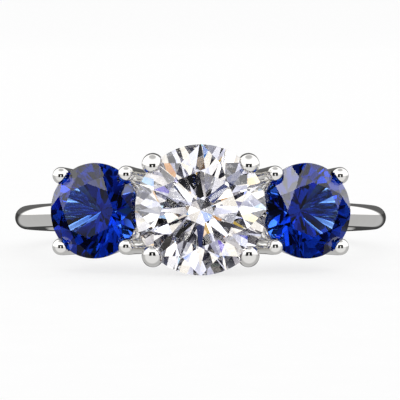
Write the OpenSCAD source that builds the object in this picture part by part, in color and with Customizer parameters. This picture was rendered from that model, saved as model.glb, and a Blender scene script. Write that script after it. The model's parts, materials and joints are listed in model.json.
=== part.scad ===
// Three stone ring: a slim domed band and three four-prong baskets, soldered
// into one piece of white metal, with a round brilliant in each basket.
// It lies on its side. The centre stone's edge and the back of the band touch
// the surface, so the finger axis leans back and the stones look up a little.

/* [Band] */
// Inside diameter of the finger hole
finger_d = 17.3; // [14:0.1:21]
// Width of the band, along the finger
band_w = 1.2; // [1:0.05:2]
// Thickness of the band, across its wall
band_t = 1.6; // [1.3:0.05:2.2]
// Bulge of the band's outer face
band_dome = 0.45; // [0.2:0.05:0.45]

/* [Stones] */
// Diameter of the centre stone
centre_d = 6.5; // [5.5:0.1:7.5]
// Diameter of each side stone
side_d = 4.8; // [4:0.1:5.5]
// Height of the centre stone's lowest point above the finger hole
culet_h = 1.4; // [1:0.1:3]
// Outward tilt of each side stone
side_tilt = 22; // [16:1:28]
// Reach of each side stone under the centre stone's edge
side_tuck = 0.15; // [0.05:0.05:0.4]
// Gap between neighbouring stones, along the centre stone's axis
stone_gap = 0.12; // [0.08:0.02:0.4]

/* [Cut of the stones] */
// Width of the table, as a share of the stone's diameter
table_share = 0.58; // [0.5:0.01:0.62]
// Angle of the crown's main facets to the girdle
crown_angle = 34.5; // [30:0.5:37]
// Angle of the pavilion's main facets to the girdle
pavilion_angle = 40.8; // [39:0.1:43]
// Thickness of the girdle where it is thinnest
girdle_t = 0.12; // [0.06:0.02:0.2]

/* [Prongs and rails] */
// Wire diameter of the centre prongs
centre_prong_d = 0.94; // [0.8:0.02:1.1]
// Diameter of the centre prongs' round tips
centre_bead_d = 1.06; // [0.9:0.02:1.3]
// Wire diameter of the side prongs
side_prong_d = 0.84; // [0.7:0.02:0.9]
// Diameter of the side prongs' round tips
side_bead_d = 0.86; // [0.8:0.02:1]
// Distance of each tip's centre outside its stone's edge
tip_out = 0.15; // [0.1:0.01:0.25]
// Height of each tip's centre above its stone's girdle
tip_rise = 0.14; // [0.1:0.01:0.25]
// Wire diameter of the rails under the stones
rail_d = 0.62; // [0.5:0.02:0.8]
// Inset of each rail from its stone's edge
rail_in = 0.15; // [0.1:0.05:0.4]
// Gap between a stone and its metal
seat_gap = 0.07; // [0.05:0.01:0.12]

/* [Hidden] */
$fn = 96;

// Angle at which the two prongs of one wire open towards their tips
centre_spread = 8;
side_spread = 2;
// Angle at which the two wires of a basket lean apart
prong_lean = 3;
// A prong's legs are a hair thinner than its bend, and start just inside it
leg_step = 0.02;
leg_sink = 0.1;

// The facets repeat eight times, and each girdle edge spans half of a facet
FACETS = 8;
FACET_STEP = 360 / FACETS;
EDGE_STEP = FACET_STEP / 2;
// Reach of a star facet towards the girdle, and of a lower half towards the culet
STAR_SHARE = 0.5;
LOWER_SHARE = 0.8;

finger_r = finger_d / 2;
band_r = finger_r + band_t;
band_mid_r = finger_r + band_t / 2;
// The dome is an arc through both edges of the band's outer face
dome_r = (pow(band_w / 2, 2) + pow(band_dome, 2)) / (2 * band_dome);
band_edge_r = band_r - band_dome;

// Heights on a stone, from its girdle plane: the facets' corners lie on a
// sixteen-sided outline whose sides touch the round girdle
function corner_r(d) = d / 2 / cos(EDGE_STEP / 2);
function table_r(d) = table_share * d / 2;
function table_z(d) = girdle_t / 2 + (corner_r(d) - table_r(d)) * tan(crown_angle);
function culet_z(d) = -girdle_t / 2 - corner_r(d) * tan(pavilion_angle);
function table_edge_r(d) = table_r(d) * cos(EDGE_STEP);
function star_r(d) = table_edge_r(d) + STAR_SHARE * (d / 2 - table_edge_r(d));
function star_z(d) =
    table_z(d) - (star_r(d) * cos(EDGE_STEP) - table_r(d)) * tan(crown_angle);
function lower_r(d) = (1 - LOWER_SHARE) * d / 2;
function lower_z(d) = culet_z(d) + lower_r(d) * cos(EDGE_STEP) * tan(pavilion_angle);
// The ridges between neighbouring girdle facets stand out furthest
function crown_ridge(d) = (star_z(d) - girdle_t / 2) / (corner_r(d) - star_r(d));
function pavilion_ridge(d) = (-girdle_t / 2 - lower_z(d)) / (corner_r(d) - lower_r(d));
// Heights of those ridges where they meet the round girdle
function crown_low(d) = girdle_t / 2 + (corner_r(d) - d / 2) * crown_ridge(d);
function pavilion_high(d) = -girdle_t / 2 - (corner_r(d) - d / 2) * pavilion_ridge(d);

// Places of the stones: the centre girdle clears the finger by its own depth,
// and the inner edge of each side stone slips just under the centre stone
centre_y = finger_r + culet_h - culet_z(centre_d);
girdle_low = girdle_t / 2 + (corner_r(centre_d) - centre_d / 2) * tan(pavilion_angle);
side_edge_x = centre_d / 2 - side_tuck;
side_crown_rise = crown_low(side_d) * cos(side_tilt)
    + side_tuck * tan(atan(crown_ridge(side_d)) - side_tilt);
side_edge_y = centre_y - girdle_low - stone_gap - side_crown_rise;
side_x = side_edge_x + side_d / 2 * cos(side_tilt);
side_y = side_edge_y - side_d / 2 * sin(side_tilt);

// Prong tips stand at the corners of a square round their stone
TIP_ANGLE = 45;
function tip_at(d) = (d / 2 + tip_out) * cos(TIP_ANGLE);

// Resting place: the centre girdle and the band's lower edge touch the surface
girdle_touch_y = centre_y - girdle_low;
rest_pitch = atan((centre_d / 2 - band_w / 2) / (girdle_touch_y + band_edge_r));
lift = band_edge_r * sin(rest_pitch) + band_w / 2 * cos(rest_pitch);
front_y = (centre_y + table_z(centre_d)) * cos(rest_pitch) + table_r(centre_d) * sin(rest_pitch);
back_y = band_r * cos(rest_pitch);

// Points all round an axis, each a step apart from the first angle
function ring_points(count, r, z, first) =
    [for (i = [0:count - 1]) let(a = first + i * 360 / count) [r * cos(a), r * sin(a), z]];

// Round brilliant with its table up and its girdle plane at height 0
module brilliant(d) {
    edges = 2 * FACETS;
    points = concat(
        ring_points(FACETS, table_r(d), table_z(d), 0),
        ring_points(FACETS, star_r(d), star_z(d), EDGE_STEP),
        ring_points(edges, corner_r(d), girdle_t / 2, 0),
        ring_points(edges, corner_r(d), -girdle_t / 2, 0),
        ring_points(FACETS, lower_r(d), lower_z(d), EDGE_STEP),
        [[0, 0, culet_z(d)]]
    );
    // Where each ring of points starts in the list
    star = FACETS;
    upper = star + FACETS;
    lower = upper + edges;
    low_star = lower + edges;
    culet = low_star + FACETS;
    faces = concat(
        [[for (i = [0:FACETS - 1]) FACETS - 1 - i]],
        [for (i = [0:FACETS - 1]) [i, (i + 1) % FACETS, star + i]],
        [for (i = [0:FACETS - 1])
            [i, star + i, upper + 2 * i, star + (i + FACETS - 1) % FACETS]],
        [for (i = [0:FACETS - 1]) [star + i, upper + 2 * i + 1, upper + 2 * i]],
        [for (i = [0:FACETS - 1])
            [star + i, upper + (2 * i + 2) % edges, upper + 2 * i + 1]],
        [for (i = [0:edges - 1])
            [upper + i, upper + (i + 1) % edges, lower + (i + 1) % edges, lower + i]],
        [for (i = [0:FACETS - 1]) [low_star + i, lower + 2 * i, lower + 2 * i + 1]],
        [for (i = [0:FACETS - 1])
            [low_star + i, lower + 2 * i + 1, lower + (2 * i + 2) % edges]],
        [for (i = [0:FACETS - 1])
            [culet, low_star + (i + FACETS - 1) % FACETS, lower + 2 * i, low_star + i]]
    );
    height = table_z(d) - culet_z(d);
    intersection() {
        polyhedron(points = points, faces = faces);
        translate([0, 0, culet_z(d) - height / 2]) cylinder(r = d / 2, h = 2 * height);
    }
}

// The room that a stone needs in its metal: its outline turned, with a gap
module seat(d) {
    out = d / 2 + seat_gap;
    rotate_extrude() polygon([
        [0, culet_z(d) - seat_gap],
        [seat_gap, culet_z(d) - seat_gap],
        [lower_r(d) + seat_gap, lower_z(d)],
        [out, pavilion_high(d)],
        [out, crown_low(d)],
        [star_r(d) + seat_gap, star_z(d)],
        [table_r(d) + seat_gap, table_z(d) + seat_gap],
        [0, table_z(d) + seat_gap]
    ]);
}

// Domed band round the finger
module band() {
    rotate_extrude() {
        translate([finger_r, -band_w / 2]) square([band_t - band_dome, band_w]);
        intersection() {
            translate([band_r - dome_r, 0]) circle(r = dome_r);
            translate([band_edge_r - band_dome, -band_w / 2]) square([2 * band_dome, band_w]);
        }
    }
}

// Two prongs in one bent wire: tips at height 0 and the bend below, across X
module prong_pair(half, drop, spread, wire_d, bead_d) {
    bend_r = (half - drop * tan(spread)) * cos(spread) / (1 - sin(spread));
    foot_x = bend_r * cos(spread);
    foot_y = bend_r - drop - bend_r * sin(spread);
    leg = norm([half - foot_x, foot_y]);
    translate([0, bend_r - drop]) rotate(180 + spread)
        rotate_extrude(angle = 180 - 2 * spread) translate([bend_r, 0]) circle(d = wire_d);
    for (s = [-1, 1]) {
        // The seam of each leg faces the other leg, where the seat cuts it away cleanly
        seam_turn = s > 0 ? 180 : 0;
        translate([s * foot_x, foot_y]) rotate([-90, 0, -s * spread]) rotate(seam_turn)
            translate([0, 0, -leg_sink]) cylinder(d = wire_d - leg_step, h = leg + leg_sink);
        translate([s * half, 0]) sphere(d = bead_d);
    }
}

// How far a line from p towards dir runs before it is r from c
function reach(p, dir, c, r) = let(q = p - c, b = q * dir) -b - sqrt(b * b - (q * q - r * r));

// Four prongs and a rail for a stone of diameter d, with its table up.
// finger is the ring's centre, seen from the stone: across, then along its axis
module basket(d, spread, wire_d, bead_d, finger) {
    half = tip_at(d);
    for (s = [-1, 1]) {
        tip = [s * half, tip_rise];
        dir = [-s * sin(prong_lean), -cos(prong_lean)];
        drop = reach(tip, dir, finger, band_mid_r);
        translate([tip.x, 0, tip.y]) rotate([0, s * prong_lean, 0]) rotate([90, 0, 90])
            prong_pair(half, drop, spread, wire_d, bead_d);
    }
    rail_r = d / 2 - rail_in - rail_d / 2;
    under = (rail_d / 2 + seat_gap) / sin(pavilion_angle) + corner_r(d) - rail_r;
    translate([0, 0, -girdle_t / 2 - under * tan(pavilion_angle)])
        rotate_extrude() translate([rail_r, 0]) circle(d = rail_d);
}

// Moves a thing made round a stone to its place: -1 left, 0 centre, 1 right
module at_stone(side) {
    y = side == 0 ? centre_y : side_y;
    translate([side * side_x, -y, 0]) rotate([90, 0, side * side_tilt]) children();
}

// Where the ring's centre lies, as a side stone sees it
function finger_from(side) = side == 0 ? [0, -centre_y] : [
    side * (side_y * sin(side_tilt) - side_x * cos(side_tilt)),
    -side_x * sin(side_tilt) - side_y * cos(side_tilt)
];

// Lays the ring on its side, with the middle of its footprint at the origin
module at_rest() {
    translate([0, (front_y - back_y) / 2, lift]) rotate([-rest_pitch, 0, 0]) children();
}

module band_and_setting() {
    color([0.86, 0.86, 0.87]) at_rest() difference() {
        union() {
            band();
            at_stone(0)
                basket(centre_d, centre_spread, centre_prong_d, centre_bead_d, finger_from(0));
            for (side = [-1, 1])
                at_stone(side)
                    basket(side_d, side_spread, side_prong_d, side_bead_d, finger_from(side));
        }
        at_stone(0) seat(centre_d);
        for (side = [-1, 1]) at_stone(side) seat(side_d);
    }
}

module centre_stone() {
    color([0.93, 0.95, 0.98]) at_rest() at_stone(0) brilliant(centre_d);
}

module left_stone() {
    color([0.05, 0.12, 0.6]) at_rest() at_stone(-1) brilliant(side_d);
}

module right_stone() {
    color([0.05, 0.12, 0.6]) at_rest() at_stone(1) brilliant(side_d);
}

band_and_setting();
centre_stone();
left_stone();
right_stone();
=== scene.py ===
import json
import math
import random

import bmesh
import bpy
from mathutils import Matrix, Vector


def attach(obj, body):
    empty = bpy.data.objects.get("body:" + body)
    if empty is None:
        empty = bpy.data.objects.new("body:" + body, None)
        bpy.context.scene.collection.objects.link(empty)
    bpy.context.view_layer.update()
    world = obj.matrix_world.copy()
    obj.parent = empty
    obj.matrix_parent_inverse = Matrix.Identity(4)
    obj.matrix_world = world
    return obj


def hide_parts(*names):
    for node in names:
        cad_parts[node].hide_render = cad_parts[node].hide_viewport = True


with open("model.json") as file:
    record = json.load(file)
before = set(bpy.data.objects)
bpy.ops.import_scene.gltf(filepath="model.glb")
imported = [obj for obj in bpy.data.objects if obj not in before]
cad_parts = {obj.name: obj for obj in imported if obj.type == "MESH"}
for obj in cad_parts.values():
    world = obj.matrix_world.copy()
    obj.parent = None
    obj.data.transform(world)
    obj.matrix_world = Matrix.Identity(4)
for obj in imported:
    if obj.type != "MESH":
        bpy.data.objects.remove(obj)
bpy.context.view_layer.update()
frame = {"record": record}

# Sizes are in metres, and MM turns millimetres into them
MM = 0.001

# The finger hole gives the ring's centre, its axis and how far it leans back
hole = next(m for m in frame["record"]["mounts"] if m["name"] == "finger_hole")
FINGER_R = hole["dims"]["r_mm"] * MM
RING_CENTRE = Vector(hole["pos_m"])
PITCH = math.atan2(hole["axis"][1], hole["axis"][2])
RING = Matrix.Translation(RING_CENTRE) @ Matrix.Rotation(-PITCH, 4, "X")

# Band: its width, its thickness, the rise of its dome and the radius of its inner edges
BAND_W = 1.2 * MM
BAND_T = 1.6 * MM
BAND_DOME = 0.45 * MM
BAND_ROUND = 0.07 * MM

# Stones and their cut
CENTRE_D = 6.5 * MM
SIDE_D = 4.8 * MM
# Height of the centre stone's lowest point over the finger
CULET_H = 1.4 * MM
SIDE_TILT = math.radians(22)
# A side stone's edge reaches this far in under the centre stone's, and stays this far
# below it
SIDE_TUCK = 0.15 * MM
STONE_GAP = 0.12 * MM
# The cut as a cutter gives it: the table's share of the width, the angles above and
# below the girdle, and how far the stars and the lower halves reach along them
TABLE_SHARE = 0.58
CROWN_ANGLE = math.radians(34.5)
PAVILION_ANGLE = math.radians(40.8)
GIRDLE_T = 0.12 * MM
STAR_SHARE = 0.5
LOWER_SHARE = 0.8
FACETS = 8
HALF_STEP = math.pi / FACETS
# A cutter's hand turns each facet off its true direction by about this share
CENTRE_HAND = 0.003
SIDE_HAND = 0.018
HAND_SEED = 11
# Sides of the round blank, and how many millimetres off a cut a point counts as on it
BLANK_SIDES = 160
ON_CUT_MM = 1e-5
# A face whose normal rises or falls less than this belongs to the finely ground girdle
GIRDLE_RISE = 0.01
GIRDLE_ROUGHNESS = 0.25

# Prongs and rails
CENTRE_WIRE = 0.94 * MM
CENTRE_BEAD = 1.06 * MM
SIDE_WIRE = 0.84 * MM
SIDE_BEAD = 0.86 * MM
# A tip's middle stands this far outside its stone's edge and above its girdle plane
TIP_OUT = 0.15 * MM
TIP_RISE = 0.14 * MM
# The rail's outer side lies this far inside its stone's edge
RAIL_IN = 0.15 * MM
RAIL_WIRE = 0.62 * MM
# Gap between a stone and its seat in the metal
SEAT_GAP = 0.07 * MM
# The two prongs of one bent wire spread on their way up, and the wire leans outwards
CENTRE_SPREAD = math.radians(8)
SIDE_SPREAD = math.radians(2)
PRONG_LEAN = math.radians(3)
# How far the tips bend in over their stone, along the row of stones and across it
CENTRE_HOOK = (0.02 * MM, 0.24 * MM)
SIDE_HOOK = (0.015 * MM, 0.015 * MM)
# How far before its tip's middle a prong starts to swell and to bend, and the length
# over which it does so, all in radii of the tip
SWELL_FROM = 2.6
SWELL_OVER = 1.8
HOOK_FROM = 1.3
HOOK_OVER = HOOK_FROM + 1

# Sides of the round forms in the mesh, and the angle from which an edge looks sharp
BAND_SIDES = 288
SEAT_SIDES = 96
WIRE_SIDES = 32
SHARP_ANGLE = math.radians(35)


class Cut:
    """The corner points of a round brilliant, from its girdle plane, table up."""

    def __init__(self, diameter, girdle):
        self.r = diameter / 2
        self.half_girdle = girdle / 2
        self.corner_r = self.r / math.cos(HALF_STEP / 2)
        self.table_r = TABLE_SHARE * self.r
        crown_run = self.corner_r - self.table_r
        self.table_z = self.half_girdle + crown_run * math.tan(CROWN_ANGLE)
        self.culet_z = -self.half_girdle - self.corner_r * math.tan(PAVILION_ANGLE)
        edge_r = self.table_r * math.cos(HALF_STEP)
        self.star_r = edge_r + STAR_SHARE * (self.r - edge_r)
        star_run = self.star_r * math.cos(HALF_STEP) - self.table_r
        self.star_z = self.table_z - star_run * math.tan(CROWN_ANGLE)
        self.lower_r = (1 - LOWER_SHARE) * self.r
        lower_run = self.lower_r * math.cos(HALF_STEP)
        self.lower_z = self.culet_z + lower_run * math.tan(PAVILION_ANGLE)
        # The ridges between the facets at the girdle stand out furthest
        crown_fall = self.star_z - self.half_girdle
        self.crown_ridge = crown_fall / (self.corner_r - self.star_r)
        pavilion_rise = -self.half_girdle - self.lower_z
        pavilion_ridge = pavilion_rise / (self.corner_r - self.lower_r)
        overhang = self.corner_r - self.r
        self.crown_low = self.half_girdle + overhang * self.crown_ridge
        self.pavilion_high = -self.half_girdle - overhang * pavilion_ridge

    def outline(self, gap):
        """The stone's widest outline, from the culet up to the table, with a gap."""
        return [
            (0, self.culet_z - gap),
            (gap, self.culet_z - gap),
            (self.lower_r + gap, self.lower_z),
            (self.r + gap, self.pavilion_high),
            (self.r + gap, self.crown_low),
            (self.star_r + gap, self.star_z),
            (self.table_r + gap, self.table_z + gap),
            (0, self.table_z + gap),
        ]


centre_cut = Cut(CENTRE_D, GIRDLE_T)
side_cut = Cut(SIDE_D, GIRDLE_T)

# Places of the stones on the ring, worked out as the solids' are
CENTRE_OUT = FINGER_R + CULET_H - centre_cut.culet_z
girdle_low = GIRDLE_T / 2 + (centre_cut.corner_r - centre_cut.r) * math.tan(PAVILION_ANGLE)
side_rise = side_cut.crown_low * math.cos(SIDE_TILT)
side_rise += SIDE_TUCK * math.tan(math.atan(side_cut.crown_ridge) - SIDE_TILT)
SIDE_X = centre_cut.r - SIDE_TUCK + side_cut.r * math.cos(SIDE_TILT)
SIDE_OUT = CENTRE_OUT - girdle_low - STONE_GAP - side_rise - side_cut.r * math.sin(SIDE_TILT)


def stone_place(side):
    """Where a stone's own axes stand on the ring: -1 left, 0 centre, 1 right."""
    out = CENTRE_OUT if side == 0 else SIDE_OUT
    turn = Matrix.Rotation(side * SIDE_TILT, 4, "Z") @ Matrix.Rotation(math.pi / 2, 4, "X")
    return RING @ Matrix.Translation((side * SIDE_X, -out, 0)) @ turn


# Node trees


class Value:
    """One socket in a node tree. Each operator used on it adds its Math node."""

    def __init__(self, tree, socket):
        self.tree = tree
        self.socket = socket

    def __add__(self, other):
        return self.tree.math("ADD", self, other)

    def __sub__(self, other):
        return self.tree.math("SUBTRACT", self, other)

    def __rsub__(self, other):
        return self.tree.math("SUBTRACT", other, self)

    def __mul__(self, other):
        return self.tree.math("MULTIPLY", self, other)

    def __abs__(self):
        return self.tree.math("ABSOLUTE", self)

    __radd__ = __add__
    __rmul__ = __mul__


class Tree:
    """Adds nodes to one node tree and hands back one output of each, mostly the first."""

    def __init__(self, node_tree):
        self.node_tree = node_tree
        self.node_tree.nodes.clear()

    def add(self, kind, settings=None, *inputs, out=0, **named):
        """Its inputs come in their order, or by name with _ in place of a space."""
        node = self.node_tree.nodes.new(kind)
        for key, setting in (settings or {}).items():
            if key == "stops":
                set_stops(node.color_ramp, setting)
            else:
                setattr(node, key, setting)
        for place, given in enumerate(inputs):
            self.feed(node.inputs[place], given)
        for name, given in named.items():
            self.feed(node.inputs[name.replace("_", " ")], given)
        return Value(self, node.outputs[out]) if node.outputs else None

    def feed(self, socket, given):
        if isinstance(given, Value):
            self.node_tree.links.new(given.socket, socket)
        elif given is not None:
            socket.default_value = given

    def math(self, operation, *inputs):
        return self.add("ShaderNodeMath", {"operation": operation}, *inputs)

    def step(self, value, low, high):
        """Rises smoothly from 0 at low to 1 at high."""
        easing = {"interpolation_type": "SMOOTHSTEP"}
        return self.add("ShaderNodeMapRange", easing, value, low, high, 0.0, 1.0)

    def ramp(self, stops, value):
        """Turns a value into the colours of (place, colour) stops."""
        return self.add("ShaderNodeValToRGB", {"stops": stops}, value)

    def mix(self, blend, share, under, over):
        """Mixes two colours, which are the node's seventh and eighth inputs."""
        settings = {"data_type": "RGBA", "blend_type": blend}
        unused = [None] * 5
        return self.add("ShaderNodeMix", settings, share, *unused, under, over, out=2)


def set_stops(ramp, stops):
    while len(ramp.elements) < len(stops):
        ramp.elements.new(0.5)
    for element, (place, colour) in zip(ramp.elements, stops):
        element.position = place
        element.color = (*colour, 1)


def new_material(name):
    material = bpy.data.materials.new(name)
    material.use_nodes = True
    return material, Tree(material.node_tree)


# Materials


def white_gold():
    """Mirror-polished white gold, with the faint haze and hairlines of hand polishing."""
    material, tree = new_material("white_gold")
    place = tree.add("ShaderNodeTexCoord", out="Object")
    haze = tree.add("ShaderNodeTexNoise", None, place, Scale=900.0, Detail=3.0)
    # The hairlines run along the band, so their pattern is squeezed across it
    squeezed = tree.add("ShaderNodeMapping", None, place, Scale=(1.0, 1.0, 14.0))
    hairs = tree.add("ShaderNodeTexNoise", None, squeezed, Scale=4000.0, Detail=2.0)
    mirror_roughness = 0.012
    haze_roughness = 0.02
    hair_roughness = 0.012
    roughness = mirror_roughness + haze_roughness * tree.step(haze, 0.45, 0.75)
    roughness = roughness + hair_roughness * hairs
    bump = tree.add("ShaderNodeBump", None, Strength=0.02, Distance=0.00002, Height=hairs)
    tint = tree.ramp([(0.3, (0.84, 0.83, 0.81)), (0.7, (0.88, 0.87, 0.85))], haze)
    surface = tree.add(
        "ShaderNodeBsdfPrincipled", Base_Color=tint, Metallic=1.0, Roughness=roughness, Normal=bump
    )
    tree.add("ShaderNodeOutputMaterial", None, surface)
    return material


def gem(name, tint, ior, body=None):
    """A clear stone with polished facets and a finely ground girdle.

    A coloured one has a body: the colour that is left of the light on its way through,
    and how strongly each metre of the way takes the rest.
    """
    material, tree = new_material(name)
    girdle = tree.add("ShaderNodeAttribute", {"attribute_name": "girdle"}, out="Fac")
    surface = tree.add(
        "ShaderNodeBsdfPrincipled",
        Base_Color=(*tint, 1),
        Roughness=GIRDLE_ROUGHNESS * girdle,
        IOR=ior,
        Transmission_Weight=1.0,
    )
    depth = None
    if body:
        colour, density = body
        depth = tree.add("ShaderNodeVolumeAbsorption", None, (*colour, 1), density)
    tree.add("ShaderNodeOutputMaterial", None, surface, depth)
    return material


def paper():
    """Seamless white paper with a very faint grain, lit from all over as in a light tent."""
    material, tree = new_material("studio_paper")
    place = tree.add("ShaderNodeTexCoord", out="Object")
    grain = tree.add("ShaderNodeTexNoise", None, place, Scale=400.0, Detail=4.0)
    shade = tree.ramp([(0.0, (0.16, 0.16, 0.16)), (1.0, (0.18, 0.18, 0.18))], grain)
    surface = tree.add(
        "ShaderNodeBsdfPrincipled",
        Base_Color=shade,
        Roughness=0.9,
        Emission_Color=(1, 1, 1, 1),
        Emission_Strength=0.76,
    )
    tree.add("ShaderNodeOutputMaterial", None, surface)
    return material


# Mesh helpers


def piece_from(bm, name, material):
    """Makes a bmesh, which is in its final place, one object."""
    mesh = bpy.data.meshes.new(name)
    bm.to_mesh(mesh)
    bm.free()
    mesh.materials.append(material)
    piece = bpy.data.objects.new(name, mesh)
    bpy.context.scene.collection.objects.link(piece)
    return piece


def turned(outline, sides, closed):
    """Turns an outline of (radius, height) points about the Z axis."""
    bm = bmesh.new()
    rings = []
    for radius, height in outline:
        if radius == 0:
            rings.append([bm.verts.new((0, 0, height))] * sides)
            continue
        angles = [2 * math.pi * i / sides for i in range(sides)]
        ring = [bm.verts.new((radius * math.cos(a), radius * math.sin(a), height)) for a in angles]
        rings.append(ring)
    pairs = list(zip(rings, rings[1:]))
    if closed:
        pairs.append((rings[-1], rings[0]))
    for low, high in pairs:
        for i in range(sides):
            j = (i + 1) % sides
            corners = [low[i], low[j], high[j], high[i]]
            corners = [v for k, v in enumerate(corners) if v not in corners[:k]]
            bm.faces.new(corners)
    bmesh.ops.recalc_face_normals(bm, faces=bm.faces)
    return bm


def plain_mesh(piece):
    """Applies a piece's modifiers and leaves a plain mesh in it."""
    depsgraph = bpy.context.evaluated_depsgraph_get()
    mesh = bpy.data.meshes.new_from_object(piece.evaluated_get(depsgraph))
    piece.modifiers.clear()
    piece.data = mesh
    return piece


def combine(piece, tool, operation):
    """Joins another closed mesh to a piece or cuts it out of it, and removes it."""
    modifier = piece.modifiers.new(operation.lower(), "BOOLEAN")
    modifier.operation = operation
    modifier.solver = "MANIFOLD"
    modifier.object = tool
    plain_mesh(piece)
    bpy.data.objects.remove(tool)


# Stones


def facet_planes(cut):
    """Three points on the plane of each facet, in the order in which they are ground."""

    def at(radius, height, turn):
        return Vector((radius * math.cos(turn), radius * math.sin(turn), height))

    yield [at(cut.table_r, cut.table_z, k * 2 * HALF_STEP) for k in range(3)]
    culet = Vector((0, 0, cut.culet_z))
    for k in range(FACETS):
        main = k * 2 * HALF_STEP
        mid = main + HALF_STEP
        after = main + 2 * HALF_STEP
        star = at(cut.star_r, cut.star_z, mid)
        low_star = at(cut.lower_r, cut.lower_z, mid)
        last_star = at(cut.star_r, cut.star_z, main - HALF_STEP)
        last_low = at(cut.lower_r, cut.lower_z, main - HALF_STEP)
        # The kite, the star and the pavilion's main facet, then the halves that meet at
        # the middle of the girdle's next stretch, above and below it
        yield star, last_star, at(cut.corner_r, cut.half_girdle, main)
        yield star, at(cut.table_r, cut.table_z, main), at(cut.table_r, cut.table_z, after)
        yield culet, low_star, last_low
        for corner in (main, after):
            for height, peak in ((cut.half_girdle, star), (-cut.half_girdle, low_star)):
                yield peak, at(cut.corner_r, height, corner), at(cut.corner_r, height, mid)


def brilliant(name, cut, side, hand, material):
    """Cuts a round brilliant from a round blank, one facet plane after another."""
    # The blank is cut in millimetres, a scale that suits Blender's tolerances, and it
    # reaches well past the culet and the table
    mm_cut = Cut(2 * cut.r / MM, GIRDLE_T / MM)
    low = mm_cut.culet_z * 1.5
    high = mm_cut.table_z * 2
    blank = [(0, low), (mm_cut.r, low), (mm_cut.r, high), (0, high)]
    bm = turned(blank, BLANK_SIDES, False)
    cutter = random.Random(HAND_SEED + side)
    for p, q, r in facet_planes(mm_cut):
        normal = (q - p).cross(r - p).normalized()
        if normal.dot(p) < 0:
            normal.negate()
        normal += Vector([cutter.uniform(-hand, hand) for _ in range(3)])
        normal.normalize()
        parts = bm.verts[:] + bm.edges[:] + bm.faces[:]
        bmesh.ops.bisect_plane(
            bm, geom=parts, dist=ON_CUT_MM, plane_co=p, plane_no=normal, clear_outer=True
        )
        rim = [edge for edge in bm.edges if edge.is_boundary]
        bmesh.ops.holes_fill(bm, edges=rim, sides=0)
    bmesh.ops.recalc_face_normals(bm, faces=bm.faces)
    mark = bm.faces.layers.float.new("girdle")
    for face in bm.faces:
        face[mark] = 1.0 if abs(face.normal.z) < GIRDLE_RISE else 0.0
        face.smooth = False
    bm.transform(stone_place(side) @ Matrix.Scale(MM, 4))
    return piece_from(bm, name, material)


# Metal


def band_outline():
    """The band's domed profile, from its inner face round: (radius, height)."""
    half = BAND_W / 2
    dome_r = (half**2 + BAND_DOME**2) / (2 * BAND_DOME)
    band_r = FINGER_R + BAND_T
    sweep = math.asin(half / dome_r)
    dome_steps = 24
    points = []
    for i in range(dome_steps + 1):
        turn = sweep * (2 * i / dome_steps - 1)
        points.append((band_r - dome_r + dome_r * math.cos(turn), dome_r * math.sin(turn)))
    # The inner edges are softly rounded for the finger
    round_steps = 6
    for side in (1, -1):
        arc = []
        for i in range(round_steps + 1):
            turn = math.pi / 2 * i / round_steps
            radius = FINGER_R + BAND_ROUND * (1 - math.sin(turn))
            arc.append((radius, side * (half - BAND_ROUND * (1 - math.cos(turn)))))
        points += arc if side == 1 else arc[::-1]
    return points


def band(material):
    """The band, turned about the finger's axis."""
    bm = turned(band_outline(), BAND_SIDES, True)
    bm.transform(RING)
    return piece_from(bm, "band", material)


def smooth(share):
    """Eases a share between 0 and 1."""
    share = min(1, max(0, share))
    return share * share * (3 - 2 * share)


def wire_path(half, drop, spread, wire, bead):
    """One bent wire with two round prong tips, as (place, radius, share of hook)."""
    bend_r = (half - drop * math.tan(spread)) * math.cos(spread) / (1 - math.sin(spread))
    foot = Vector((bend_r * math.cos(spread), bend_r - drop - bend_r * math.sin(spread)))
    tip = Vector((half, 0))
    along = (tip - foot).normalized()
    leg = (tip - foot).length
    tip_r = bead / 2
    right = []
    # The leg swells to its tip's width, and then starts to bend over the stone
    leg_steps = 44
    for i in range(1, leg_steps + 1):
        run = leg * i / leg_steps
        left_over = (leg - run) / tip_r
        swell = smooth((SWELL_FROM - left_over) / SWELL_OVER)
        radius = wire / 2 + (tip_r - wire / 2) * swell
        right.append((foot + along * run, radius, smooth((HOOK_FROM - left_over) / HOOK_OVER)))
    cap_steps = 12
    # The last ring stays just open, and the wire's end closes it with a tiny face
    last_ring = 0.02
    for i in range(1, cap_steps + 1):
        turn = math.pi / 2 * i / cap_steps
        radius = tip_r * max(math.cos(turn), last_ring)
        rise = math.sin(turn)
        right.append((tip + along * (tip_r * rise), radius, smooth((HOOK_FROM + rise) / HOOK_OVER)))
    bend = []
    bend_steps = 40
    for i in range(bend_steps + 1):
        turn = math.pi + spread + (math.pi - 2 * spread) * i / bend_steps
        place = Vector((bend_r * math.cos(turn), bend_r - drop + bend_r * math.sin(turn)))
        bend.append((place, wire / 2, 0))
    left = [(Vector((-p.x, p.y)), r, h) for p, r, h in reversed(right)]
    return left + bend + right


def reach(point, heading, centre, radius):
    """How far a line from a point runs before it is that radius from the centre."""
    apart = point - centre
    away = apart.dot(heading)
    return -away - math.sqrt(away * away - (apart.dot(apart) - radius**2))


def finger_from(side):
    """Where the ring's centre lies as a stone sees it: across, then along its axis."""
    if side == 0:
        return Vector((0, -CENTRE_OUT))
    across = side * (SIDE_OUT * math.sin(SIDE_TILT) - SIDE_X * math.cos(SIDE_TILT))
    return Vector((across, -SIDE_X * math.sin(SIDE_TILT) - SIDE_OUT * math.cos(SIDE_TILT)))


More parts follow.
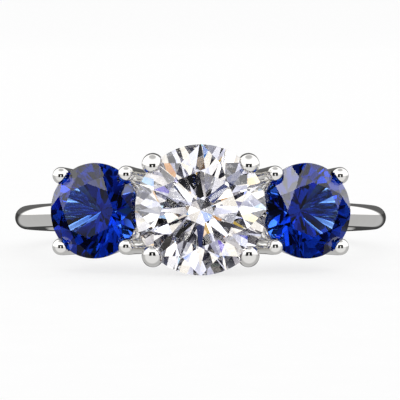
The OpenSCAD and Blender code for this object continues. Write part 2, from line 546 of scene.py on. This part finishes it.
def prong_path(cut, side, lean, spread, hook, wire, bead):
    """The path of the wire with two of a basket's prongs, on the side that it leans to."""
    half = (cut.r + TIP_OUT) / math.sqrt(2)
    tip = Vector((lean * half, TIP_RISE))
    heading = Vector((-lean * math.sin(PRONG_LEAN), -math.cos(PRONG_LEAN)))
    drop = reach(tip, heading, finger_from(side), FINGER_R + BAND_T / 2)
    place = stone_place(side)
    path = []
    for point, radius, share in wire_path(half, drop, spread, wire, bead):
        across = tip - heading * point.y
        x = across.x - math.copysign(hook[0] * share, across.x)
        y = point.x - math.copysign(hook[1] * share, point.x)
        path.append((place @ Vector((x, y, across.y)), radius))
    return path


def rail_path(cut, side):
    """The path of the round rail that lies close under a stone."""
    rail_r = cut.r - RAIL_IN - RAIL_WIRE / 2
    under = (RAIL_WIRE / 2 + SEAT_GAP) / math.sin(PAVILION_ANGLE) + cut.corner_r - rail_r
    rail_z = -GIRDLE_T / 2 - under * math.tan(PAVILION_ANGLE)
    place = stone_place(side)
    rail_steps = 120
    path = []
    for i in range(rail_steps):
        turn = 2 * math.pi * i / rail_steps
        point = Vector((rail_r * math.cos(turn), rail_r * math.sin(turn), rail_z))
        path.append((place @ point, RAIL_WIRE / 2))
    return path


def wire_tree(material):
    """Geometry Nodes that draw a round wire along every path of a mesh of edges."""
    group = bpy.data.node_groups.new("drawn_wire", "GeometryNodeTree")
    face = group.interface
    face.new_socket("Paths", in_out="INPUT", socket_type="NodeSocketGeometry")
    face.new_socket("Sides", in_out="INPUT", socket_type="NodeSocketInt")
    face.new_socket("Wire", in_out="OUTPUT", socket_type="NodeSocketGeometry")
    tree = Tree(group)
    paths = tree.add("NodeGroupInput", out="Paths")
    sides = tree.add("NodeGroupInput", out="Sides")
    curve = tree.add("GeometryNodeMeshToCurve", None, paths)
    radius = tree.add("GeometryNodeInputNamedAttribute", {"data_type": "FLOAT"}, "wire_radius")
    profile = tree.add("GeometryNodeCurvePrimitiveCircle", None, sides, Radius=1.0)
    wire = tree.add("GeometryNodeCurveToMesh", None, curve, profile, radius, True)
    wire = tree.add("GeometryNodeRealizeInstances", None, wire)
    wire = tree.add("GeometryNodeSetMaterial", None, wire, Material=material)
    tree.add("NodeGroupOutput", None, wire)
    return group


def drawn_wire(path, closed, group):
    """One wire along a path of (place, radius), as a closed mesh."""
    mesh = bpy.data.meshes.new("wire")
    edges = [(i, i + 1) for i in range(len(path) - 1)]
    if closed:
        edges.append((len(path) - 1, 0))
    mesh.from_pydata([p for p, _ in path], edges, [])
    radii = mesh.attributes.new("wire_radius", "FLOAT", "POINT")
    radii.data.foreach_set("value", [r for _, r in path])
    piece = bpy.data.objects.new("wire", mesh)
    bpy.context.scene.collection.objects.link(piece)
    modifier = piece.modifiers.new("wire", "NODES")
    modifier.node_group = group
    sides = next(s for s in group.interface.items_tree if s.name == "Sides")
    modifier[sides.identifier] = WIRE_SIDES
    return plain_mesh(piece)


def setting(material):
    """The whole of the metal: band, prongs and rails joined, then seated for the stones."""
    metal = band(material)
    group = wire_tree(material)
    # Columns: cut of the stone, its side, spread and hook of the prongs, wire and tip size
    baskets = [
        (centre_cut, 0, CENTRE_SPREAD, CENTRE_HOOK, CENTRE_WIRE, CENTRE_BEAD),
        (side_cut, -1, SIDE_SPREAD, SIDE_HOOK, SIDE_WIRE, SIDE_BEAD),
        (side_cut, 1, SIDE_SPREAD, SIDE_HOOK, SIDE_WIRE, SIDE_BEAD),
    ]
    for cut, side, *prongs in baskets:
        for lean in (-1, 1):
            wire = drawn_wire(prong_path(cut, side, lean, *prongs), False, group)
            combine(metal, wire, "UNION")
        combine(metal, drawn_wire(rail_path(cut, side), True, group), "UNION")
    for cut, side, *_ in baskets:
        bm = turned(cut.outline(SEAT_GAP), SEAT_SIDES, False)
        bm.transform(stone_place(side))
        combine(metal, piece_from(bm, "seat", material), "DIFFERENCE")
    metal.name = "polished_setting"
    metal.data.name = metal.name
    metal.data.shade_smooth()
    metal.data.set_sharp_from_angle(angle=SHARP_ANGLE)
    return metal


# Floor and camera


def sweep(material):
    """Seamless paper that lies under the ring and curves up far behind it."""
    width = 4.0
    front = -1.5
    back = 1.2
    curve_r = 0.6
    height = 2.0
    profile = [(front, 0.0), (back, 0.0)]
    curve_steps = 24
    for i in range(1, curve_steps + 1):
        turn = math.pi / 2 * i / curve_steps
        profile.append((back + curve_r * math.sin(turn), curve_r * (1 - math.cos(turn))))
    profile.append((back + curve_r, height))
    bm = bmesh.new()
    rows = [[bm.verts.new((x, y, z)) for x in (-width / 2, width / 2)] for y, z in profile]
    for low, high in zip(rows, rows[1:]):
        bm.faces.new((low[0], low[1], high[1], high[0])).smooth = True
    return piece_from(bm, "studio_sweep", material)


# The photo looks at the centre stone from this far, and a little under the ring's
# own plane, which leans back by PITCH
VIEW_DISTANCE = 110 * MM
VIEW_FROM_PLANE = math.radians(-2.3)
# Pixels of the 400-pixel frame across the centre stone, and where its middle is
STONE_PIXELS = 131.0
FRAME_PIXELS = 400
STONE_AT = (200.6, 209.8)


def camera():
    """Looks at the ring as the photo does."""
    data = bpy.data.cameras.new("camera")
    data.sensor_width = 36
    per_pixel = CENTRE_D / STONE_PIXELS
    data.lens = VIEW_DISTANCE / (FRAME_PIXELS * per_pixel) * data.sensor_width
    data.clip_start = 0.005
    data.clip_end = 20
    rise = PITCH + VIEW_FROM_PLANE
    back = Vector((0, -math.cos(rise), math.sin(rise)))
    up = Vector((0, math.sin(rise), math.cos(rise)))
    middle = stone_place(0).translation.copy()
    middle.x += (FRAME_PIXELS / 2 - STONE_AT[0]) * per_pixel
    middle += up * (STONE_AT[1] - FRAME_PIXELS / 2) * per_pixel
    viewer = bpy.data.objects.new("camera", data)
    bpy.context.scene.collection.objects.link(viewer)
    viewer.location = middle + back * VIEW_DISTANCE
    viewer.rotation_euler = (math.pi / 2 - rise, 0, 0)
    bpy.context.scene.camera = viewer


# Studio

# Cards and lamps stand in a white tent, far from the ring, and their edges are soft
# over this many degrees to either side
CARD_EDGE = 0.6

# Columns of the tables: azimuth from the camera's side to the right, elevation, half
# width and half height, all in degrees, and the light that a lamp adds, or the share
# of the light that a dark card takes

# Black boards left, right and above the camera, which the metal mirrors
METAL_CARDS = [
    (-21, 0, 14, 18, 0.99),
    (21, 0, 14, 18, 0.99),
    (0, 19, 34, 8, 0.99),
]
# Softboxes and reflectors, mostly at the sides, which the outside of the facets mirrors
FACET_LAMPS = [
    (-104, 36, 38, 31, 1.15),
    (104, 36, 38, 31, 1.05),
    (-125, 16, 12, 14, 0.5),
    (125, 16, 12, 14, 0.6),
    (-112, -38, 20, 22, 0.12),
    (122, -25, 14, 16, 0.2),
    (-47, 7, 12, 14, 0.24),
    (47, 7, 12, 14, 0.16),
    (-10, 64.5, 5.5, 13, 4.6),
    (7, 25, 6, 6, 3.0),
    (-42, 43, 5, 5, 1.8),
    (37, 47, 7, 7, 1.5),
]
# Dark cards round the camera, which draw the arrows inside the diamond
ARROW_CARDS = [
    (3.5, 15, 5.5, 3.5, 0.95),
    (1, -8.5, 3.5, 3, 0.95),
    (-10, -2, 3.5, 3.5, 0.95),
    (-18, -12, 3, 3, 0.85),
    (7, -30, 3, 3, 0.85),
    (-7, -31, 3, 3, 0.85),
    (6, 36, 3, 3, 0.6),
    (-6, 30, 3, 3, 0.7),
    (24, 17, 3, 2, 0.8),
    (0, -18, 5, 3.5, 0.8),
    (0, -42, 11, 5, 0.8),
]
# Softboxes that light the inside of the stones from the sides, above and below
SOFTBOXES = [
    (-100, 40, 16, 14, 6.0),
    (100, 40, 16, 14, 6.0),
    (-30, 62, 9, 9, 3.0),
    (35, -50, 10, 10, 2.0),
]
# Lamps between the dark cards, which keep the facets beside the arrows white
FILL_LAMPS = [
    (18, -12, 4, 4, 0.7),
    (18, -24, 3, 3, 0.8),
    (36, 9, 4, 6, 0.7),
    (12, 9, 3, 3, 0.8),
    (-8, 12, 3.5, 3.5, 0.5),
    (48, 6, 4, 4, 0.8),
    (-48, 6, 4, 4, 0.8),
    (-30, 13, 3, 4, 0.7),
    (-24, 24, 3, 3, 0.7),
    (24, 37, 3, 3, 0.7),
    (9, 0, 2.5, 3, 0.7),
    (0, 41, 4, 3, 1.0),
    (-24, 8, 4, 4, 0.7),
    (8, 24, 3.5, 3, 0.9),
    (16, 32, 4, 4, 0.8),
    (-16, 32, 4, 3, 0.9),
]
# Small strong lamps, which light single facets up
GLINT_LAMPS = [
    (1, 38, 1.5, 2, 6.0),
    (16, 35, 2, 2, 4.0),
    (-4, 49, 2.5, 2.5, 4.0),
    (0, 53, 2, 2, 4.0),
    (8.5, 22, 2, 2, 3.0),
    (-29.5, -0.5, 1.2, 1.5, 7.0),
    (25.5, -10.5, 1.5, 1.5, 7.0),
    (-17, 35, 2, 2, 4.0),
    (-104, 17, 3, 3, 6.0),
    (104, 30, 3, 3, 3.0),
]
# Faint blue light in the place of two of the dark cards
BLUE_LAMPS = [
    (8, 15, 3, 3.5, 0.22),
    (1, -8, 3, 3, 0.15),
]

# Colours inside the stones, from the dark to the bright bands
BAND_STOPS = [
    (0.0, (0.01, 0.01, 0.015)),
    (0.22, (0.05, 0.05, 0.07)),
    (0.34, (0.32, 0.32, 0.4)),
    (0.55, (0.6, 0.6, 0.66)),
    (0.8, (0.9, 0.9, 0.92)),
    (1.0, (1.0, 1.0, 1.0)),
]
# Pure colours of the flashes: violet, blue, light blue, yellow and orange
FLASH_STOPS = [
    (0.36, (0.3, 0.2, 1.0)),
    (0.46, (0.05, 0.3, 1.0)),
    (0.5, (0.2, 0.75, 1.0)),
    (0.54, (1.0, 0.8, 0.2)),
    (0.62, (1.0, 0.45, 0.08)),
]
# Whites from lavender to cream
WHITE_STOPS = [(0.44, (0.88, 0.89, 1.0)), (0.56, (1.0, 0.95, 0.86))]

WHITE = (1, 1, 1, 1)
BLUE = (0.22, 0.3, 1.0, 1.0)
# Plain light of the tent, on the paper and behind the ring
TENT_LIGHT = 1.12


class Tent:
    """The studio round the ring, as values of the direction in which a ray leaves it."""

    def __init__(self, tree):
        self.tree = tree
        self.way = tree.add("ShaderNodeTexCoord", out="Generated")
        self.upper = tree.step(self.along((0, 0, 1)), -0.02, 0.02)

    def along(self, direction):
        """The cosine of the angle to a direction: 1 in it, 0 square to it, -1 against it."""
        dot = {"operation": "DOT_PRODUCT"}
        return self.tree.add("ShaderNodeVectorMath", dot, self.way, direction, out="Value")

    def card(self, azimuth, elevation, half_width, half_height):
        """1 inside a rectangular card and 0 outside it."""
        turn = math.radians(azimuth)
        rise = math.radians(elevation)
        level = math.cos(rise)
        ahead = Vector((math.sin(turn) * level, -math.cos(turn) * level, math.sin(rise)))
        across = Vector((math.cos(turn), math.sin(turn), 0))
        edge = math.sin(math.radians(CARD_EDGE))
        inside = self.tree.step(self.along(ahead), 0.0, 0.05)
        for axis, half in ((across, half_width), (ahead.cross(across), half_height)):
            limit = math.sin(math.radians(half))
            inside = inside * (1 - self.tree.step(abs(self.along(axis)), limit - edge, limit + edge))
        return inside

    def lit(self, level, lamps):
        """Adds lamps to a level of light."""
        for *place, light in lamps:
            level = level + light * self.card(*place)
        return level

    def shaded(self, level, cards):
        """Takes dark cards' shares from a level of light."""
        for *place, share in cards:
            level = level * (1 - share * self.card(*place))
        return level

    def noise(self, scale):
        return self.tree.add("ShaderNodeTexNoise", None, self.way, Scale=scale, Detail=0.0)


def metal_light(tent):
    """What the polished metal mirrors: bright above, greyer below, black by the camera."""
    tree = tent.tree
    above = 1.3
    below = 0.85
    rear_loss = 0.33
    behind = tree.step(tent.along((0, 1, 0)), -0.35, 0.15)
    light = (below - rear_loss * behind) * (1 - tent.upper) + above * tent.upper
    light = tent.shaded(light, METAL_CARDS)
    # The middle of the room behind the ring is dim, over about 35 degrees to every side,
    # which darkens the rims of everything round
    room_loss = 0.9
    room_rise = math.radians(15)
    room = (0, math.cos(room_rise), math.sin(room_rise))
    light = light * (1 - room_loss * tree.step(tent.along(room), 0.78, 0.86))
    # Straight overhead, over about 25 degrees to every side, the tent is dimmer, so that
    # the metal's upper faces show their form
    roof_loss = 0.55
    light = light * (1 - roof_loss * tree.step(tent.along((0, 0, 1)), 0.84, 0.96))
    # Metal that is seen through a stone is lit over three times as strongly from above
    # and less than a third as strongly from below
    above_gain = 3.0
    below_loss = 0.7
    passes = tree.add("ShaderNodeLightPath", out="Transmission Depth")
    seen_through = tree.step(passes, 1.4, 1.6)
    return light * (1 + seen_through * (above_gain * tent.upper - below_loss))


def facet_light(tent):
    """What the outside of the facets mirrors: softboxes in a room that is almost black."""
    room = 0.015
    above_gain = 0.01
    return tent.lit(room + above_gain * tent.upper, FACET_LAMPS)


def fire(tent):
    """Colours of the light inside a stone, and the white that its lamps lean to."""
    tree = tent.tree
    # Bright and dark bands follow one soft noise, over which a wave turns through this
    # many radians, with violet greys between them
    band_turns = 64.0
    wave = 0.5 + 0.5 * tree.math("SINE", tent.noise(1.9) * band_turns)
    bands = tree.ramp(BAND_STOPS, wave)
    # Small flashes of pure colour, as a cut stone spreads the light
    spread = tent.noise(7.0)
    flash = tree.ramp(FLASH_STOPS, spread)
    flecks = {"noise_dimensions": "4D"}
    spark = tree.add("ShaderNodeTexNoise", flecks, tent.way, W=3.0, Scale=5.0, Detail=0.0)
    flash_share = 0.5
    colour = tree.mix("MIX", flash_share * tree.step(spark, 0.68, 0.69), bands, flash)
    # The whites lean a little to lavender here and to cream there
    white = tree.ramp(WHITE_STOPS, spread)
    return tree.mix("MULTIPLY", 1.0, colour, white), white


def glow(tree, colour, level):
    return tree.add("ShaderNodeBackground", None, colour, level)


def both(tree, one, other):
    return tree.add("ShaderNodeAddShader", None, one, other)


def stone_light(tent):
    """The light that comes out of a stone through its facets."""
    tree = tent.tree
    front = 1.46
    rear_loss = 1.33
    rear = tree.step(tent.along((0, 1, 0)), 0.0, 0.3)
    soft = tent.shaded(tent.lit(front - rear_loss * rear, SOFTBOXES), ARROW_CARDS)
    lamps = tent.lit(0.0, FILL_LAMPS + GLINT_LAMPS)
    # A ray that crosses a stone without a reflection in it meets plain light instead,
    # bright at the sides and dimmer elsewhere
    middle = 0.4
    side_gain = 1.2
    depth = tree.add("ShaderNodeLightPath", out="Ray Depth")
    straight = 1 - tree.step(depth, 2.4, 2.6)
    crossing = middle + side_gain * tree.step(abs(tent.along((1, 0, 0))), 0.6, 0.85)
    soft = soft * (1 - straight) + crossing * straight
    lamps = lamps * (1 - straight)
    colour, white = fire(tent)
    gleam = both(tree, glow(tree, colour, soft), glow(tree, white, lamps))
    return both(tree, gleam, glow(tree, BLUE, tent.lit(0.0, BLUE_LAMPS)))


def studio():
    """A white tent, lit for the metal, for the facets and for the inside of the stones."""
    world = bpy.data.worlds.new("studio")
    world.use_nodes = True
    bpy.context.scene.world = world
    tree = Tree(world.node_tree)
    tent = Tent(tree)
    # The facets are perfectly smooth and the metal isn't, which tells their rays apart
    smooth_ray = tree.add("ShaderNodeLightPath", out="Is Singular Ray")
    metal = glow(tree, WHITE, metal_light(tent))
    facets = glow(tree, WHITE, facet_light(tent))
    shader = tree.add("ShaderNodeMixShader", None, smooth_ray, metal, facets)
    through = tree.add("ShaderNodeLightPath", out="Is Transmission Ray")
    shader = tree.add("ShaderNodeMixShader", None, through, shader, stone_light(tent))
    # The camera and the paper see the plain tent
    seen = tree.add("ShaderNodeLightPath", out="Is Camera Ray")
    diffuse = tree.add("ShaderNodeLightPath", out="Is Diffuse Ray")
    plain = glow(tree, WHITE, TENT_LIGHT)
    shader = tree.add("ShaderNodeMixShader", None, seen + diffuse, shader, plain)
    tree.add("ShaderNodeOutputWorld", None, shader)


def render_settings():
    scene = bpy.context.scene
    scene.view_settings.view_transform = "Standard"
    scene.cycles.max_bounces = 24
    scene.cycles.transmission_bounces = 24
    scene.cycles.glossy_bounces = 12
    scene.cycles.diffuse_bounces = 3
    scene.cycles.sample_clamp_indirect = 4
    scene.cycles.use_denoising = True


camera()
studio()
render_settings()

gold = white_gold()
diamond = gem("diamond", tint=(1, 1, 1), ior=2.417)
sapphire_body = ((0.15, 0.47, 0.815), 1130.0)
sapphire = gem("sapphire", tint=(0.56, 0.63, 0.82), ior=1.768, body=sapphire_body)

metal = setting(gold)
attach(metal, "root")
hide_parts("band_and_setting")

stones = [
    ("centre_brilliant", centre_cut, 0, CENTRE_HAND, diamond, "centre_stone", "diamond"),
    ("left_brilliant", side_cut, -1, SIDE_HAND, sapphire, "left_stone", "sapphire"),
    ("right_brilliant", side_cut, 1, SIDE_HAND, sapphire, "right_stone", "sapphire"),
]
for name, cut, side, hand, material, node, finish in stones:
    stone = brilliant(name, cut, side, hand, material)
    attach(stone, "root")
    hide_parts(node)

floor = sweep(paper())
# The stones and the metal see the studio below them, not the paper
floor.visible_glossy = False
floor.visible_transmission = False
